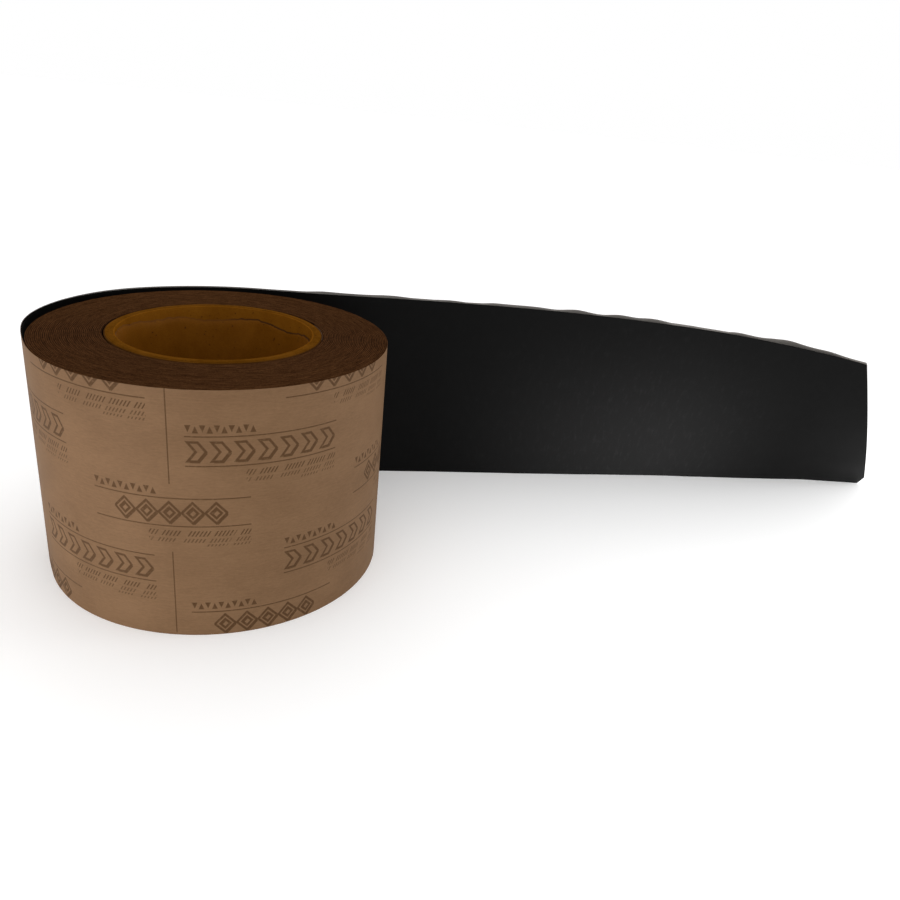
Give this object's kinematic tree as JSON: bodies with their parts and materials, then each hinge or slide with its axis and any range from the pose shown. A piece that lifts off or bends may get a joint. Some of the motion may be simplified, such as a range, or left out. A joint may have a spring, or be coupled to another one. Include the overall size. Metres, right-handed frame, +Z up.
{
  "type": "wide adhesive tape roll",
  "caption": "Wide black adhesive tape with a printed kraft release liner, wound on a paperboard core, standing on end with a tail pulled out.",
  "frame": {"origin": "the core's axis at the roll's lower end, on the surface that it stands on", "axes": "+Z up along the core's axis; +X along the pulled-out tail, towards its free end; +Y towards the tail's printed liner side"},
  "size_m": [0.4596, 0.1501, 0.1005],
  "materials": {
    "core_board": "matte",
    "fixing_tape": "satin",
    "carrier": "matte",
    "adhesive": "satin",
    "liner": "matte"
  },
  "bodies": {
    "roll": {"core_inner_ply": "core_board", "core_body_ply_1": "core_board", "core_body_ply_2": "core_board", "core_body_ply_3": "core_board", "core_body_ply_4": "core_board", "core_body_ply_5": "core_board", "core_body_ply_6": "core_board", "core_body_ply_7": "core_board", "core_outer_ply": "core_board", "start_tab": "fixing_tape", "wound_carrier": "carrier", "wound_adhesive": "adhesive", "wound_liner": "liner"},
    "loose_turn_near": {"loose_turn_near_carrier": "carrier", "loose_turn_near_adhesive": "adhesive", "loose_turn_near_liner": "liner"},
    "loose_turn_far": {"loose_turn_far_carrier": "carrier", "loose_turn_far_adhesive": "adhesive", "loose_turn_far_liner": "liner"},
    "tail_1": {"tail_1_carrier": "carrier", "tail_1_adhesive": "adhesive", "tail_1_liner": "liner"},
    "tail_2": {"tail_2_carrier": "carrier", "tail_2_adhesive": "adhesive", "tail_2_liner": "liner"},
    "tail_3": {"tail_3_carrier": "carrier", "tail_3_adhesive": "adhesive", "tail_3_liner": "liner"},
    "tail_4": {"tail_4_carrier": "carrier", "tail_4_adhesive": "adhesive", "tail_4_liner": "liner"},
    "tail_5": {"tail_5_carrier": "carrier", "tail_5_adhesive": "adhesive", "tail_5_liner": "liner"},
    "tail_6": {"tail_6_carrier": "carrier", "tail_6_adhesive": "adhesive", "tail_6_liner": "liner"},
    "tail_7": {"tail_7_carrier": "carrier", "tail_7_adhesive": "adhesive", "tail_7_liner": "liner"},
    "liner_flap_root": {"liner_flap_root": "liner"},
    "liner_flap_end": {"liner_flap_end": "liner"}
  },
  "joints": [
    {"name": "loose_turn_open", "type": "hinge", "parent": "roll", "child": "loose_turn_near", "pos_m": [-0.06561, -0.02635, 0], "axis": [0, 0, 1], "range_deg": [-3, 25]},
    {"name": "loose_turn_spread", "type": "hinge", "parent": "loose_turn_near", "child": "loose_turn_far", "pos_m": [-0.06976, 0.03506, 0], "axis": [0, 0, 1], "range_deg": [-2.4, 20]},
    {"name": "tail_swing", "type": "hinge", "parent": "loose_turn_far", "child": "tail_1", "pos_m": [0.01475, 0.07866, 0], "axis": [0, 0, 1], "range_deg": [-15, 20]},
    {"name": "tail_bend_1", "type": "hinge", "parent": "tail_1", "child": "tail_2", "pos_m": [0.06468, 0.07663, 0], "axis": [0, 0, 1], "range_deg": [0, 12]},
    {"name": "tail_bend_2", "type": "hinge", "parent": "tail_2", "child": "tail_3", "pos_m": [0.11467, 0.07657, 0.00001], "axis": [0, -0.0158, 0.9999], "range_deg": [0, 12]},
    {"name": "tail_bend_3", "type": "hinge", "parent": "tail_3", "child": "tail_4", "pos_m": [0.16467, 0.07657, 0.00002], "axis": [0, -0.0631, 0.998], "range_deg": [0, 12]},
    {"name": "tail_bend_4", "type": "hinge", "parent": "tail_4", "child": "tail_5", "pos_m": [0.21468, 0.07656, 0.00005], "axis": [0, -0.1416, 0.9899], "range_deg": [0, 12]},
    {"name": "tail_bend_5", "type": "hinge", "parent": "tail_5", "child": "tail_6", "pos_m": [0.26467, 0.07656, 0.00009], "axis": [0, -0.2498, 0.9683], "range_deg": [0, 12]},
    {"name": "tail_bend_6", "type": "hinge", "parent": "tail_6", "child": "tail_7", "pos_m": [0.31468, 0.07574, 0.00014], "axis": [-0.0123, -0.3842, 0.9232], "range_deg": [0, 12]},
    {"name": "liner_peel", "type": "hinge", "parent": "tail_7", "child": "liner_flap_root", "pos_m": [0.32984, 0.07569, 0.0004], "axis": [-0.0179, -0.429, 0.9031], "range_deg": [0, 60]},
    {"name": "liner_peel_curl", "type": "hinge", "parent": "liner_flap_root", "child": "liner_flap_end", "pos_m": [0.35717, 0.07427, 0.00048], "axis": [-0.0305, -0.5133, 0.8577], "range_deg": [0, 42]}
  ],
  "couplings": [
    {"joint": "loose_turn_spread", "follows": "loose_turn_open", "ratio": 0.8},
    {"joint": "tail_bend_2", "follows": "tail_bend_1", "ratio": 1},
    {"joint": "tail_bend_3", "follows": "tail_bend_1", "ratio": 1},
    {"joint": "tail_bend_4", "follows": "tail_bend_1", "ratio": 1},
    {"joint": "tail_bend_5", "follows": "tail_bend_1", "ratio": 1},
    {"joint": "tail_bend_6", "follows": "tail_bend_1", "ratio": 1},
    {"joint": "liner_peel_curl", "follows": "liner_peel", "ratio": 0.7}
  ]
}
